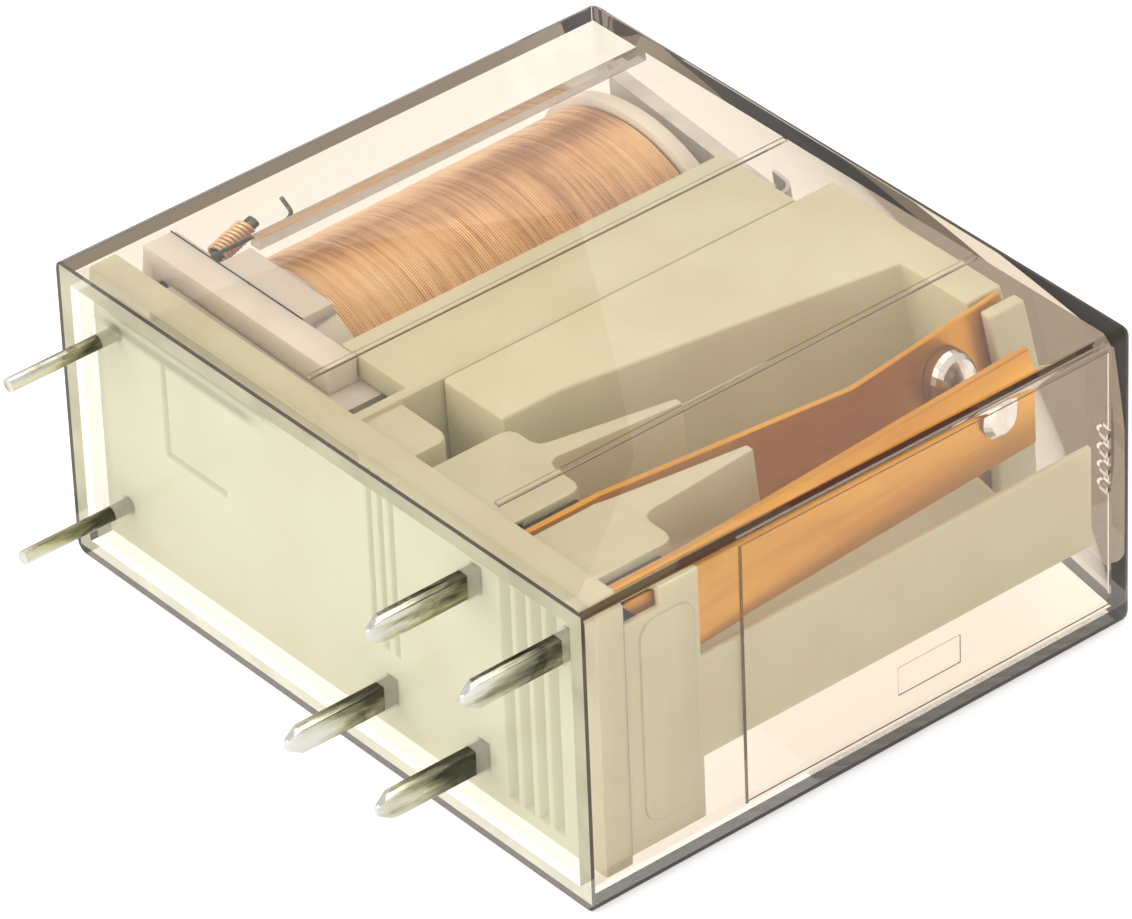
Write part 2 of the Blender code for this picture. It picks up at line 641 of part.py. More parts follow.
def base():
    """Return the cream moulding: plate, partition, spring blocks, walls and boss."""
    x0, x1 = CASE_WALL + FIT, INSIDE_X1 - FIT
    z0, z1 = CASE_WALL + FIT, INSIDE_Z1 - FIT
    made = block("base", x0, x1, BASE_Y0, BASE_Y1, z0, z1)
    pole = block("pole_wall", NC_X + PIN_GRID / 2, INSIDE_X1 - FIT - SIDE_WALL / 2,
                 BASE_Y1 - JOIN, INSIDE_Y1 - 2 * PARTITION_END_GAP,
                 MID_Z - POLE_WALL / 2, MID_Z + POLE_WALL / 2)
    combine(made, partition() + spring_blocks() + side_wall() + [pole, boss()], "UNION")
    cutters = pin_holes(FIT, BASE_Y0 - THROUGH, BASE_Y1 + FIT) + underside_cutters()
    cutters += jog_rooms()
    cutters.append(block("root_notch", x1 - SIDE_WALL - FIT, x1 + THROUGH, BASE_Y1 + 2 * FIT,
                         BASE_Y1 + ROOT_NOTCH, BASE_HIGH_Z - ROOT_NOTCH_DEPTH, z1))
    y0, y1, low, high = tongue_box(3 * FIT)
    cutters.append(block("window", PARTITION_X0 - JOIN, PARTITION_X1 + JOIN, y0, y1, low, high))
    return combine(made, cutters, "DIFFERENCE")


def core():
    """Return the turned iron core: shank, body and pole."""
    body = BOBBIN_Y0 + TOUCH - YOKE_Y0
    neck = BOBBIN_Y1 + TOUCH - YOKE_Y0
    end = POLE_Y - YOKE_Y0
    profile = [(0, 0), (CORE_SHANK_RADIUS, 0), (CORE_SHANK_RADIUS, body), (CORE_RADIUS, body),
               (CORE_RADIUS, neck), (POLE_RADIUS, neck), (POLE_RADIUS, end), (0, end)]
    return turn_onto(turned("core", profile, 36), (0, 1, 0), (COIL_X, YOKE_Y0, MID_Z))


def yoke():
    """Return the L of iron: a foot under the coil and a leg beside it."""
    x0 = COIL_PIN_INSET + COIL_PIN_RADIUS + 4 * FIT
    foot_y = YOKE_Y0 + YOKE_THICKNESS
    cut = YOKE_ROUNDING
    outline = [(x0, YOKE_Y0), (YOKE_X1 - cut, YOKE_Y0), (YOKE_X1 - cut * 0.3, YOKE_Y0 + cut * 0.3),
               (YOKE_X1, YOKE_Y0 + cut), (YOKE_X1, POLE_Y), (YOKE_X0, POLE_Y),
               (YOKE_X0, foot_y), (x0, foot_y)]
    made = prism("yoke", outline, MID_Z - YOKE_WIDTH / 2, MID_Z + YOKE_WIDTH / 2)
    hole = rod("hole", [(COIL_X, YOKE_Y0 - THROUGH, MID_Z), (COIL_X, foot_y + THROUGH, MID_Z)],
               CORE_SHANK_RADIUS + TOUCH, 36)
    return combine(made, [hole], "DIFFERENCE")


def coil_pin_path(side):
    """Return a coil pin's path: straight from the board, then a leaning post."""
    row = MID_Z + side * ROW_SPACING / 2
    y = BOBBIN_Y0 + BOBBIN_BLOCK + 6 * FIT
    return [(COIL_PIN_INSET, -PIN_LENGTH, row), (COIL_PIN_INSET, y, row),
            (COIL_PIN_INSET - POST_LEAN, y + POST_LENGTH, row + side * 2.5 * POST_LEAN)]


def bobbin():
    """Return the coil former: barrel, round flanges, foot plate and pin blocks."""
    barrel = [(0, BOBBIN_Y0 + JOIN), (BARREL_RADIUS, BOBBIN_Y0 + JOIN),
              (BARREL_RADIUS, WINDOW_Y1 + JOIN), (0, WINDOW_Y1 + JOIN)]
    made = turned("bobbin", barrel, 36)
    flanges = []
    for y0, y1 in ((FLANGE_Y0 - JOIN, WINDOW_Y0), (WINDOW_Y1, BOBBIN_Y1)):
        disc = [(0, y0), (FLANGE_RADIUS, y0), (FLANGE_RADIUS, y1), (0, y1)]
        flanges.append(turned("flange", disc, 40))
    for item in [made] + flanges:
        turn_onto(item, (0, 1, 0), (COIL_X, 0, MID_Z))
    x0 = CASE_WALL + COIL_SIDE_CLEARANCE - FIT
    x1 = YOKE_X0 - FIT
    half = FLANGE_RADIUS + FIT
    foot = block("foot", x0, x1, BOBBIN_Y0, FLANGE_Y0, MID_Z - half, MID_Z + half)
    pad_x0 = COIL_X - FLANGE_RADIUS / 2
    pad_x1 = COIL_X + FLANGE_RADIUS * 0.4
    pad = block("pad", pad_x0, pad_x1, BOBBIN_Y0 + JOIN, WINDOW_Y0 - FIT, MID_Z - half + FIT,
                MID_Z + half - FIT)
    blocks = []
    for side in (-1, 1):
        z_in = MID_Z + side * (ROW_SPACING / 2 - COIL_PIN_RADIUS * 3)
        z_out = MID_Z + side * (half - FIT)
        low, high = sorted((z_in, z_out))
        pin_x1 = COIL_PIN_INSET + COIL_PIN_RADIUS * 3
        blocks.append(block("pin_block", x0 + FIT, pin_x1, BOBBIN_Y0 + JOIN,
                            FLANGE_Y0 + 4 * FIT, low, high))
    combine(made, flanges + [foot, pad] + blocks, "UNION")
    bore = rod("bore", [(COIL_X, 0, MID_Z), (COIL_X, CASE_HEIGHT, MID_Z)], CORE_RADIUS + FIT, 36)
    cutters = [bore]
    for side in (-1, 1):
        cutters.append(rod("pin_room", coil_pin_path(side), COIL_PIN_RADIUS + FIT, 12))
    return combine(made, cutters, "DIFFERENCE")


def coil_winding():
    """Return the winding: a ridged ring, one ridge for each group of turns."""
    y0, y1 = WINDOW_Y0 + FIT, WINDOW_Y1 - FIT
    step = (y1 - y0) / WIRE_RIDGES
    low = WINDING_RADIUS - WIRE_RIDGE_DEPTH
    profile = [(BARREL_RADIUS + FIT, y1), (BARREL_RADIUS + FIT, y0), (low, y0)]
    for i in range(WIRE_RIDGES):
        profile.append((WINDING_RADIUS, y0 + (i + 0.5) * step))
        profile.append((low, y0 + (i + 1) * step))
    made = turned("coil_winding", profile, 40, ring=True)
    return turn_onto(made, (0, 1, 0), (COIL_X, 0, MID_Z))


def coil_pin(name, side):
    """Return a coil pin with its wrapping post."""
    return rod(name, coil_pin_path(side), COIL_PIN_RADIUS, 12)


def wire_wrap(name, side):
    """Return the wire's end wrapped on a post, as a short ridged sleeve."""
    _, foot, tip = [Vector(place) for place in coil_pin_path(side)]
    length = (tip - foot).length
    turns = 7
    inner = COIL_PIN_RADIUS + TOUCH
    outer = inner + 2 * LEAD_RADIUS
    start, end = length * 0.3, length * 0.85
    step = (end - start) / turns
    profile = [(inner, end), (inner, start), (outer - LEAD_RADIUS, start)]
    for i in range(turns):
        profile.append((outer, start + (i + 0.5) * step))
        profile.append((outer - LEAD_RADIUS, start + (i + 1) * step))
    return turn_onto(turned(name, profile, 16, ring=True), tip - foot, foot)


def coil_lead(name, side):
    """Return the bare hook of wire that stands beside a post."""
    x = COIL_PIN_INSET + 2.5 * COIL_PIN_RADIUS
    z = MID_Z + side * (FLANGE_RADIUS - 3 * LEAD_RADIUS)
    y0 = FLANGE_Y0 + 5 * FIT
    run = POST_LENGTH * 1.2
    radius = PIN_GRID * 0.28
    path = [(x, y0, z), (x, y0 + run, z)]
    for i in range(1, 7):
        angle = i / 6 * math.radians(75)
        path.append((x - radius * (1 - math.cos(angle)), y0 + run + radius * math.sin(angle), z))
    last = path[-1]
    path.append((last[0] - radius, last[1] + radius * 0.3, z))
    return rod(name, path, LEAD_RADIUS, 8)


def armature():
    """Return the L-shaped armature as it stands at rest, open at the pole."""
    along = Vector((-math.cos(ARMATURE_SWING), math.sin(ARMATURE_SWING)))
    up = Vector((math.sin(ARMATURE_SWING), math.cos(ARMATURE_SWING)))
    corner = Vector((LEG_X0, POLE_Y + TOUCH))
    tip = corner + along * ARMATURE_PLATE
    back = corner + up * ARMATURE_THICKNESS
    run = (LEG_X1 - back.x) / -along.x
    outer = back - along * run
    trim = ARMATURE_THICKNESS * 0.4
    over = outer + along * trim
    neck = corner + along * (YOKE_THICKNESS * 0.5)
    outline = [corner, tip, tip + up * ARMATURE_THICKNESS, over, (LEG_X1, outer.y - trim),
               (LEG_X1, LEG_END_Y), (LEG_X0, LEG_END_Y)]
    made = prism("armature", outline, MID_Z - ARMATURE_LEG_WIDTH / 2, MID_Z + ARMATURE_LEG_WIDTH / 2)
    plate_outline = [neck, tip, tip + up * ARMATURE_THICKNESS, neck + up * ARMATURE_THICKNESS]
    plate = prism("plate", plate_outline, MID_Z - ARMATURE_PLATE_WIDTH / 2,
                  MID_Z + ARMATURE_PLATE_WIDTH / 2)
    return combine(made, [plate], "UNION")


def hinge_spring():
    """Return the leaf that holds the armature on the yoke's edge from outside."""
    x = YOKE_X1 + TOUCH + HINGE_LEAF / 2
    top = POLE_Y + ARMATURE_THICKNESS + 2 * TOUCH
    hook = top + ARMATURE_THICKNESS * 0.6
    path = [(x, POLE_Y - HINGE_LEAF_REACH), (x, top), (x - HINGE_LEAF, hook - HINGE_LEAF),
            (x - 2.5 * HINGE_LEAF, hook), (x - YOKE_THICKNESS * 1.1, hook + HINGE_LEAF * 0.6)]
    made = leaf("hinge_spring", path, HINGE_LEAF, MID_Z - HINGE_HALF, MID_Z + HINGE_HALF)
    window = block("window", x - THROUGH, x + THROUGH, POLE_Y - HINGE_LEAF_REACH - THROUGH,
                   top + 2 * FIT, MID_Z - LEG_ROOM, MID_Z + LEG_ROOM)
    return combine(made, [window], "DIFFERENCE")


def actuator():
    """Return the card: a tapering plate, a tongue to the armature and a forked arm."""
    x0 = CARD_X0
    y0 = BASE_Y1 + CARD_START
    arm_y1 = INSIDE_Y1 - CARD_END_GAP
    arm_y0 = arm_y1 - CARD_ARM
    tip_x, slope = x_on(moving_path(), PUSH_Y)
    reach = MOVING_LEAF / 2 + abs(slope) * CARD_ARM / 2 + FORK_CLEARANCE
    arm_x1 = tip_x + reach + CARD_FORK
    top = BASE_HIGH_Z
    outline = [(x0, y0), (x0 + CARD_NARROW, y0), (x0 + CARD_NARROW, y0 + CARD_STRAIGHT),
               (x0 + CARD_WIDE, arm_y0), (arm_x1, arm_y0), (arm_x1, arm_y1), (x0, arm_y1)]
    made = prism("actuator", outline, top - CARD_DEPTH, top)
    low_arm = block("low_arm", x0 + CARD_WIDE - CARD_NARROW / 2, arm_x1, arm_y0, arm_y1,
                    BASE_LOW_Z, top - CARD_DEPTH + JOIN)
    y0, y1, low, high = tongue_box(0.0)
    tongue = block("tongue", LEG_X1 + TOUCH, x0 + JOIN, y0, y1, low, high)
    combine(made, [low_arm, tongue], "UNION")
    slots = []
    half = SPRING_WIDTH / 2 + FORK_CLEARANCE
    for z in (UPPER_SPRING_Z, LOWER_SPRING_Z):
        slots.append(block("fork", tip_x - reach, tip_x + reach, arm_y0 - THROUGH,
                           arm_y1 + THROUGH, z - half, z + half))
    return combine(made, slots, "DIFFERENCE")


def terminal(name, pin_x, jog, row_z):
    """Return a terminal: a flat pin, a jog above the base and a head for the spring."""
    half = BLADE_THICKNESS / 2
    shelf = BASE_Y1 + FIT
    step = shelf + BLADE_THICKNESS
    head_x = pin_x + jog
    top = BASE_Y1 + TERMINAL_HEAD
    reach = BLADE_WIDTH / 2
    made = block(name, pin_x - half, pin_x + half, -PIN_LENGTH, step, row_z - reach,
                 row_z + reach)
    point_tip(made, row_z, pin_x)
    parts = [block("head", head_x - half, head_x + half, shelf, top, row_z - HEAD_WIDTH / 2,
                   row_z + HEAD_WIDTH / 2)]
    if jog > 0:
        parts.append(block("jog", pin_x - half, head_x + half, shelf, step,
                           row_z - HEAD_WIDTH / 2, row_z + HEAD_WIDTH / 2))
    return combine(made, parts, "UNION")


def point_tip(made, row_z, pin_x):
    """Draw the free end of a flat pin in to a blunt point."""
    bm = bmesh.new()
    bm.from_mesh(made.data)
    geometry = list(bm.verts) + list(bm.edges) + list(bm.faces)
    bmesh.ops.bisect_plane(bm, geom=geometry, plane_co=(0, BLADE_TIP - PIN_LENGTH, 0),
                           plane_no=(0, 1, 0))
    for vert in bm.verts:
        if vert.co.y < BLADE_TIP / 2 - PIN_LENGTH:
            vert.co.x = pin_x + (vert.co.x - pin_x) * 0.5
            vert.co.z = row_z + (vert.co.z - row_z) * 0.4
    bm.to_mesh(made.data)
    bm.free()


def rivet_hole(path, z):
    """Return the cutter for a rivet's shank through a spring."""
    x, slope = x_on(path, CONTACT_Y)
    normal = Vector((1.0, -slope, 0.0)).normalized()
    centre = Vector((x, CONTACT_Y, z))
    return rod("hole", [centre - normal * THROUGH, centre + normal * THROUGH],
               RIVET_SHANK + TOUCH, 16)


def contact_spring(name, path, thickness, z, skirt=0.0):
    """Return a contact spring with its rivet's hole; a skirt widens it inwards."""
    z0, z1 = z - SPRING_WIDTH / 2, z + SPRING_WIDTH / 2
    if z > MID_Z:
        z0 -= skirt
    else:
        z1 += skirt
    made = leaf(name, path, thickness, z0, z1)
    return combine(made, [rivet_hole(path, z)], "DIFFERENCE")


def rivet(name, path, thickness, z, head, facing):
    """Return a contact rivet: a domed head, a shank and a flat tail."""
    x, slope = x_on(path, CONTACT_Y)
    normal = Vector((1.0, -slope, 0.0)).normalized() * facing
    half = thickness / 2 + TOUCH
    profile = [(0, -half - RIVET_TAIL), (RIVET_TAIL_RADIUS * 0.7, -half - RIVET_TAIL),
               (RIVET_TAIL_RADIUS, -half - RIVET_TAIL * 0.4), (RIVET_TAIL_RADIUS, -half),
               (RIVET_SHANK, -half), (RIVET_SHANK, half), (RIVET_RADIUS, half)]
    rim = (head - TOUCH) * 0.35
    dome = head - TOUCH - rim
    for i in range(6):
        angle = math.radians(90) * i / 5
        radius = RIVET_RADIUS * math.cos(angle)
        profile.append((0 if i == 5 else radius, half + rim + dome * math.sin(angle)))
    return turn_onto(turned(name, profile, 24), normal, (x, CONTACT_Y, z))


def contacts():
    """Return the springs, rivets and terminals of both poles."""
    upper, lower = UPPER_SPRING_Z, LOWER_SPRING_Z
    moving, no_fixed, nc_fixed = moving_path(), no_fixed_path(), nc_fixed_path()
    moving_x, slope = x_on(moving, CONTACT_Y)
    lean = math.cos(math.atan(slope))
    closed_x = moving_x + (MOVING_LEAF / 2 + MOVING_HEAD) * lean + CONTACT_TRAVEL + CLOSED_GAP
    no_x, _ = x_on(no_fixed, CONTACT_Y)
    no_head = no_x - FIXED_LEAF / 2 - closed_x
    made = {
        "no_moving_spring": contact_spring("no_moving_spring", moving, MOVING_LEAF, upper),
        "no_fixed_spring": contact_spring("no_fixed_spring", no_fixed, FIXED_LEAF, upper,
                                          FIXED_SKIRT),
        "nc_moving_spring": contact_spring("nc_moving_spring", moving, MOVING_LEAF, lower),
        "nc_fixed_spring": contact_spring("nc_fixed_spring", nc_fixed, FIXED_LEAF, lower,
                                          FIXED_SKIRT),
        "no_moving_contact": rivet("no_moving_contact", moving, MOVING_LEAF, upper,
                                   MOVING_HEAD, 1),
        "no_fixed_contact": rivet("no_fixed_contact", no_fixed, FIXED_LEAF, upper, no_head, -1),
        "nc_moving_contact": rivet("nc_moving_contact", moving, MOVING_LEAF, lower,
                                   MOVING_HEAD, -1),
        "nc_fixed_contact": rivet("nc_fixed_contact", nc_fixed, FIXED_LEAF, lower, NC_HEAD, 1),
        "no_moving_terminal": terminal("no_moving_terminal", MOVING_PIN_X, MOVING_JOG,
                                       UPPER_ROW_Z),
        "no_fixed_terminal": terminal("no_fixed_terminal", NO_PIN_X, 0.0, UPPER_ROW_Z),
        "nc_moving_terminal": terminal("nc_moving_terminal", MOVING_PIN_X, MOVING_JOG,
                                       LOWER_ROW_Z),
        "nc_fixed_terminal": terminal("nc_fixed_terminal", NC_PIN_X, NC_JOG, LOWER_ROW_Z),
    }
    return made


def finish(made, look, pivot=None, smooth_angle=30.0):
    """Give a piece its material, its smooth shading and its place."""
    made.data.materials.clear()
    made.data.materials.append(look)
    made.data.shade_smooth()
    made.data.set_sharp_from_angle(angle=math.radians(smooth_angle))
    centre = Vector(pivot) if pivot else Vector((0.0, 0.0, 0.0))
    made.data.transform(Matrix.Translation(-centre))
    made.location = centre + SHIFT


def main():
    """Build the relay in an empty scene."""
    for item in list(bpy.data.objects):
        bpy.data.objects.remove(item)
    cream = (0.70, 0.64, 0.46)
    copper = (0.75, 0.38, 0.13)
    bronze = (0.72, 0.35, 0.07)
    tin = (0.80, 0.80, 0.78)
    iron = (0.45, 0.46, 0.47)
    silver = (0.85, 0.85, 0.85)
    hinge = (YOKE_X1, POLE_Y, MID_Z)
    root = (MOVING_X, FOOT_Y, MID_Z)
    finish(cover(), material("clear_cover", (0.93, 0.88, 0.80), 0.08, alpha=0.3))
    finish(sealing_resin(), material("clear_resin", (0.90, 0.88, 0.62), 0.1, alpha=0.5))
    finish(base(), material("cream_plastic", cream, 0.45))
    finish(bobbin(), material("bobbin_plastic", (0.60, 0.55, 0.50), 0.4))
    finish(coil_winding(), material("enamelled_copper", copper, 0.3, 0.8), smooth_angle=60.0)
    finish(core(), material("core_iron", iron, 0.4, 1.0))
    finish(yoke(), material("yoke_iron", iron, 0.4, 1.0))
    finish(hinge_spring(), material("hinge_steel", silver, 0.3, 1.0))
    finish(armature(), material("armature_iron", iron, 0.4, 1.0), hinge)
    finish(actuator(), material("card_plastic", cream, 0.5), (CARD_X0, CONTACT_Y, MID_Z))
    for side, end in ((1, "upper"), (-1, "lower")):
        finish(coil_pin("coil_pin_" + end, side), material("tinned_pin_" + end, tin, 0.2, 1.0))
        finish(wire_wrap("wire_wrap_" + end, side), material("wrap_" + end, copper, 0.35, 0.8))
        finish(coil_lead("coil_lead_" + end, side), material("lead_" + end, tin, 0.3, 1.0))
    for name, made in contacts().items():
        if name.endswith("_spring"):
            look = material(name + "_bronze", bronze, 0.3, 1.0)
        elif name.endswith("_contact"):
            look = material(name + "_silver", silver, 0.25, 1.0)
        else:
            look = material(name + "_tin", tin, 0.2, 1.0)
        moves = "_moving_" in name and not name.endswith("_terminal")
        finish(made, look, root if moves else None)


main()
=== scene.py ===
# %% [markdown]
# # A board relay in a clear cover
# This lesson dresses a relay that fits in a matchbox. Through its clear cover show a coil of
# fine copper wire, a big cream card and the bronze springs that the card pushes. The frame
# comes first: it brings every piece as packed, in metres, so nothing has to be placed twice.

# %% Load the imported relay
import json
import math

import bpy
from mathutils import Matrix, Vector, noise as noise_field

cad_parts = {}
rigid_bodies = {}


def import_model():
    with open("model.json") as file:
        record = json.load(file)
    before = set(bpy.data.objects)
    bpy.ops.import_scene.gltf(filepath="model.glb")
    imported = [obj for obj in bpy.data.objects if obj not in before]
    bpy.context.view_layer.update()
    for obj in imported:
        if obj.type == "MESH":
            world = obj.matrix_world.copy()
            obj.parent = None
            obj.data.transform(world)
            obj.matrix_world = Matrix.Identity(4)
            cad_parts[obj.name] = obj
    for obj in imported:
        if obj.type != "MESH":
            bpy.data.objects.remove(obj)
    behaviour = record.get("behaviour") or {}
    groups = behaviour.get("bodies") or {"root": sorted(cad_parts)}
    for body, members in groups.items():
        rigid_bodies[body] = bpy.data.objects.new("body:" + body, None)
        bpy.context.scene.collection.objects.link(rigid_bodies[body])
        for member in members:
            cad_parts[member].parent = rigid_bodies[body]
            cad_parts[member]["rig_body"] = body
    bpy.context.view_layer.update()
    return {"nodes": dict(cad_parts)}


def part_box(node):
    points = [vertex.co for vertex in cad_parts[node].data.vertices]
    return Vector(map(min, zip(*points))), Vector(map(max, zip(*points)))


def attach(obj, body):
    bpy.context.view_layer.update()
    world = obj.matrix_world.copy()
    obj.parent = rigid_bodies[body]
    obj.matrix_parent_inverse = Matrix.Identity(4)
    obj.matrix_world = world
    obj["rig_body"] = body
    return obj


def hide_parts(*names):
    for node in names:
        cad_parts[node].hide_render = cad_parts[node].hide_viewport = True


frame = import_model()
MM = 0.001

# %% [markdown]
# ## Camera
# The photograph looks down on the corner of the relay where the pins and the contact side
# meet. A long lens keeps the box's sides nearly parallel, as they are in the photograph, and
# the camera rolls by a little over two degrees. It is aimed by a direction and a roll, which
# is easier to correct than three angles.

# %% Make the camera
EYE = Vector((0.199375, -0.159181, 0.187467))
VIEW_AZIMUTH = math.radians(51.296)
VIEW_ELEVATION = math.radians(35.366)
VIEW_ROLL = math.radians(2.361)

bpy.ops.object.camera_add(location=EYE)
camera = bpy.context.object
camera.name = "photo_camera"
camera.data.lens = 281.8
camera.data.sensor_width = 36.0
camera.data.clip_start = 0.01
forward = Vector((-math.cos(VIEW_ELEVATION) * math.sin(VIEW_AZIMUTH),
                  math.cos(VIEW_ELEVATION) * math.cos(VIEW_AZIMUTH),
                  -math.sin(VIEW_ELEVATION)))
level_right = forward.cross(Vector((0, 0, 1))).normalized()
level_up = level_right.cross(forward)
camera_up = math.cos(VIEW_ROLL) * level_up + math.sin(VIEW_ROLL) * level_right
camera_right = forward.cross(camera_up)
camera.rotation_euler = Matrix((camera_right, camera_up, -forward)).transposed().to_euler()
bpy.context.scene.camera = camera
bpy.context.scene.view_settings.view_transform = "Standard"
print("camera at", [round(value, 4) for value in camera.location])

# %% [markdown]
# ## Node helpers
# Every finish below is a small tree of nodes. Two helpers keep those trees short: one makes a
# Principled material, and one adds a node with its values set.


# %% Helpers for materials and nodes
def finish(name, colour, roughness, metallic=0.0, ior=1.5):
    """Return a Principled material, its node tree and its shader."""
    made = bpy.data.materials.new(name)
    made.use_nodes = True
    shader = made.node_tree.nodes["Principled BSDF"]
    shader.inputs["Base Color"].default_value = (*colour, 1.0)
    shader.inputs["Roughness"].default_value = roughness
    shader.inputs["Metallic"].default_value = metallic
    shader.inputs["IOR"].default_value = ior
    return made, made.node_tree, shader


def add(tree, kind, **values):
    """Add a node; a value names one of its settings, or else one of its inputs."""
    node = tree.nodes.new("ShaderNode" + kind)
    for name, value in values.items():
        if hasattr(node, name):
            setattr(node, name, value)
        else:
            node.inputs[name.replace("_", " ")].default_value = value
    return node


print("helpers for materials and nodes are ready")

# %% [markdown]
# ## Patterns
# Worn, cloudy and streaked surfaces all start from a noise. It reads Object coordinates, which
# need no unwrapping and stay on the piece when the piece moves. A ramp turns the noise into
# colours, a Map Range node stretches it for roughness, and a Bump node makes it relief.


# %% Helpers for patterns
def place(tree, stretch=(1.0, 1.0, 1.0), turn=(0.0, 0.0, 0.0), centre=(0.0, 0.0, 0.0)):
    """Return Object coordinates, moved, turned and stretched."""
    coordinates = add(tree, "TexCoord")
    mapping = add(tree, "Mapping", vector_type="POINT", Location=centre, Rotation=turn,
                  Scale=stretch)
    tree.links.new(coordinates.outputs["Object"], mapping.inputs["Vector"])
    return mapping.outputs["Vector"]


def noise(tree, scale, detail=3.0, roughness=0.5, **placing):
    """Return the value of a noise that has so many cells in a metre."""
    made = add(tree, "TexNoise", Scale=scale, Detail=detail, Roughness=roughness)
    tree.links.new(place(tree, **placing), made.inputs["Vector"])
    return made.outputs["Fac"]


def ramp(tree, value, stops):
    """Return a colour ramp's output for a list of (position, colour) stops."""
    made = add(tree, "ValToRGB")
    points = made.color_ramp.elements
    while len(points) < len(stops):
        points.new(0.5)
    for point, (position, colour) in zip(points, stops):
        point.position = position
        point.color = (*colour, 1.0)
    tree.links.new(value, made.inputs["Fac"])
    return made.outputs["Color"]


def spread(tree, value, low, high, start=0.3, end=0.7):
    """Return a value stretched from one range to another."""
    made = add(tree, "MapRange", From_Min=start, From_Max=end, To_Min=low, To_Max=high)
    tree.links.new(value, made.inputs["Value"])
    return made.outputs["Result"]


def bump(tree, shader, height, depth):
    """Drive a shader's normal from a height, in metres."""
    made = add(tree, "Bump", Strength=1.0, Distance=depth)
    tree.links.new(height, made.inputs["Height"])
    tree.links.new(made.outputs["Normal"], shader.inputs["Normal"])


print("helpers for patterns are ready")

# %% [markdown]
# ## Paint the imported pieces
# The round pins, the iron, the contacts and the resin stay as they were packed. They only get
# their finish, through the material slots of their objects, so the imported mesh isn't changed.


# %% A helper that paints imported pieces
def paint(node_names, material):
    """Give CAD nodes a finish, through the slots of their objects."""
    for name in node_names:
        item = frame["nodes"][name]
        for slot in item.material_slots:
            slot.material = material
    print(material.name, "on", ", ".join(node_names))


print("a helper that paints packed pieces is ready")

# %% [markdown]
# ## Cream plastic
# The base and the card are moulded in a filled cream plastic. It is satin, lets a little light
# in at thin edges, and shows faint flow marks. Subsurface scattering over half a millimetre
# softens the shadows between the pieces. A noise with wide cells moves the colour, and a fine
# one drives the roughness and a very shallow bump.

# %% Cream plastic
CREAM = (0.75, 0.75, 0.56)
CREAM_SHADE = (0.70, 0.67, 0.48)


def cream_finish(name, light, shade):
    """Return the moulded plastic's finish, in two shades of one colour."""
    made, tree, shader = finish(name, light, 0.42, ior=1.52)
    drift = noise(tree, 220.0, detail=4.0)
    colour = ramp(tree, drift, [(0.32, shade), (0.62, light)])
    tree.links.new(colour, shader.inputs["Base Color"])
    grain = noise(tree, 5200.0, detail=2.0)
    tree.links.new(spread(tree, grain, 0.36, 0.5), shader.inputs["Roughness"])
    bump(tree, shader, grain, 0.004 * MM)
    shader.inputs["Subsurface Weight"].default_value = 0.35
    shader.inputs["Subsurface Radius"].default_value = (1.0, 0.8, 0.45)
    shader.inputs["Subsurface Scale"].default_value = 0.5 * MM
    return made


cream = cream_finish("cream_plastic", CREAM, CREAM_SHADE)
print("cream:", CREAM, "with shade", CREAM_SHADE)

# %% [markdown]
# ## Bobbin plastic
# The coil former is a greyer, glassier plastic than the base. Deep scattering lets the copper
# glow through its flanges.

# %% Bobbin plastic
bobbin_look, tree, shader = finish("bobbin_plastic", (0.74, 0.68, 0.60), 0.3, ior=1.55)
clouding = noise(tree, 300.0, detail=3.0)
tree.links.new(ramp(tree, clouding, [(0.3, (0.79, 0.72, 0.64)), (0.7, (0.88, 0.82, 0.75))]),
               shader.inputs["Base Color"])
shader.inputs["Subsurface Weight"].default_value = 0.5
shader.inputs["Subsurface Radius"].default_value = (1.0, 0.8, 0.6)
shader.inputs["Subsurface Scale"].default_value = 0.7 * MM
bump(tree, shader, noise(tree, 4000.0), 0.004 * MM)
print("bobbin finish:", bobbin_look.name)

# %% [markdown]
# ## Metals
# Five metals show. The springs are rolled bronze with marks along the rolling direction. The
# iron and the hinge spring are plated dull and pale, and the contacts are plain silver. The
# pins are dipped in tin, which flows and freezes unevenly, so their bump has wide soft waves.
# The tin is bright at the tips and darker in streaks towards the resin: a noise that is
# stretched along the pin is added to the height along it, and both pick one colour. The
# darkening towards the resin is partly tarnish and partly painted shade and painted reflection,
# and the near-black end of the colours is a painted dark reflection.


# %% Metals
ROLLED = (1.0, 0.12, 1.0)
PIN_TIP_Y = -14.4 * MM
PIN_ROOT_Y = -10.9 * MM


def metal_finish(name, light, dark, roughness, marks=(1.0, 1.0, 1.0), depth=0.004 * MM,
                 metallic=1.0):
    """Return a metal with marks that are stretched along one way."""
    made, tree, shader = finish(name, light, roughness, metallic=metallic)
    wear = noise(tree, 900.0, detail=5.0, roughness=0.6, stretch=marks)
    tree.links.new(ramp(tree, wear, [(0.3, dark), (0.65, light)]), shader.inputs["Base Color"])
    tree.links.new(spread(tree, wear, roughness * 1.5, roughness * 0.8),
                   shader.inputs["Roughness"])
    bump(tree, shader, wear, depth)
    return made


